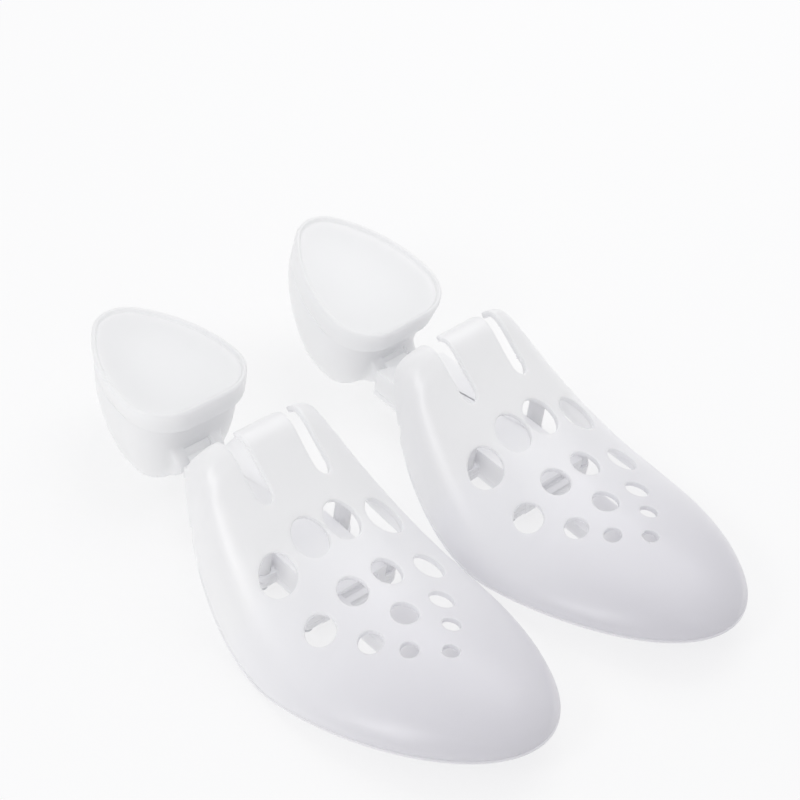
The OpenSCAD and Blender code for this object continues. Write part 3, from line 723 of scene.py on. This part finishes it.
# Stage, light and camera
def make_floor():
    """White light table: lit from below as well as above, and it keeps the pair's soft shadow.

    Half of it glows, and seven tenths for rays that are seen, so that it comes out white.
    """
    mesh = bpy.data.meshes.new("studio_floor")
    reach, below = 6, -1e-4
    corners = [(x * reach, y * reach, below) for x, y in ((-1, -1), (1, -1), (1, 1), (-1, 1))]
    mesh.from_pydata(corners, [], [(0, 1, 2, 3)])
    floor = bpy.data.objects.new("studio_floor", mesh)
    bpy.context.scene.collection.objects.link(floor)
    material, tree, out = new_material("white_light_table")
    path = add_node(tree, "ShaderNodeLightPath")
    seen = add_node(tree, "ShaderNodeMath", {0: path.outputs["Is Camera Ray"],
                    1: path.outputs["Is Glossy Ray"]}, operation="MAXIMUM")
    seen = add_node(tree, "ShaderNodeMath", {0: seen.outputs[0],
                    1: path.outputs["Is Transmission Ray"]}, operation="MAXIMUM")
    part = add_node(tree, "ShaderNodeMath", {0: seen.outputs[0], 1: 0.2, 2: 0.5},
                    operation="MULTIPLY_ADD")
    paper = add_node(tree, "ShaderNodeBsdfDiffuse", {"Color": linear("FCFCFD")})
    glow = add_node(tree, "ShaderNodeEmission", {"Color": (1, 1, 1, 1), "Strength": 1.0})
    mix = add_node(tree, "ShaderNodeMixShader", {0: part.outputs[0], 1: paper.outputs[0],
                   2: glow.outputs[0]})
    tree.links.new(mix.outputs[0], out.inputs["Surface"])
    mesh.materials.append(material)


def make_lamp(name, size, power, place_at, aim):
    """A square softbox at a place in millimetres, aimed at a point."""
    data = bpy.data.lights.new(name, "AREA")
    data.shape = "SQUARE"
    data.size = size / 1000
    data.energy = power
    lamp = bpy.data.objects.new(name, data)
    bpy.context.scene.collection.objects.link(lamp)
    away = np.array(place_at, float) - np.array(aim, float)
    z = away / np.linalg.norm(away)
    x = np.cross([0, 0, 1] if abs(z[2]) < 0.95 else [0, 1, 0], z)
    x /= np.linalg.norm(x)
    y = np.cross(z, x)
    lamp.matrix_world = Matrix(np.vstack([np.column_stack([x, y, z, np.array(place_at) / 1000]),
                                          [0, 0, 0, 1]]).tolist())


make_floor()
make_lamp("rear_softbox", 700, 2.5, (-250, 450, 800), (0, 0, 0))
make_lamp("key_softbox", 300, 2.4, (30, -950, 690), (0, 0, 0))

world = bpy.data.worlds.new("soft_studio")
bpy.context.scene.world = world
world.use_nodes = True
tree = world.node_tree
tree.nodes.clear()
path = add_node(tree, "ShaderNodeLightPath")
sky = add_node(tree, "ShaderNodeBackground", {"Color": linear("FAFAFC"), "Strength": 0.63})
white = add_node(tree, "ShaderNodeBackground", {"Color": (1, 1, 1, 1), "Strength": 1.0})
mix = add_node(tree, "ShaderNodeMixShader", {0: path.outputs["Is Camera Ray"], 1: sky.outputs[0],
               2: white.outputs[0]})
add_node(tree, "ShaderNodeOutputWorld", {"Surface": mix.outputs[0]})

# The camera was fitted to both trees in the photograph: its place in millimetres and its three axes
CAMERA_PLACE = (392.03, -456.65, 587.23)
CAMERA_RIGHT = (0.67135, 0.73123, 0.12079)
CAMERA_UP = (-0.55211, 0.38469, 0.73972)
CAMERA_BACK = (0.49444, -0.56330, 0.66198)
camera_data = bpy.data.cameras.new("photo_camera")
camera_data.sensor_width = 36.0
camera_data.lens = 108.0
camera_data.clip_start = 0.05
camera_data.clip_end = 50.0
camera = bpy.data.objects.new("photo_camera", camera_data)
bpy.context.scene.collection.objects.link(camera)
camera.matrix_world = Matrix(np.vstack([np.column_stack([CAMERA_RIGHT, CAMERA_UP, CAMERA_BACK,
                             np.array(CAMERA_PLACE) / 1000]), [0, 0, 0, 1]]).tolist())
bpy.context.scene.camera = camera
bpy.context.scene.view_settings.view_transform = "Standard"
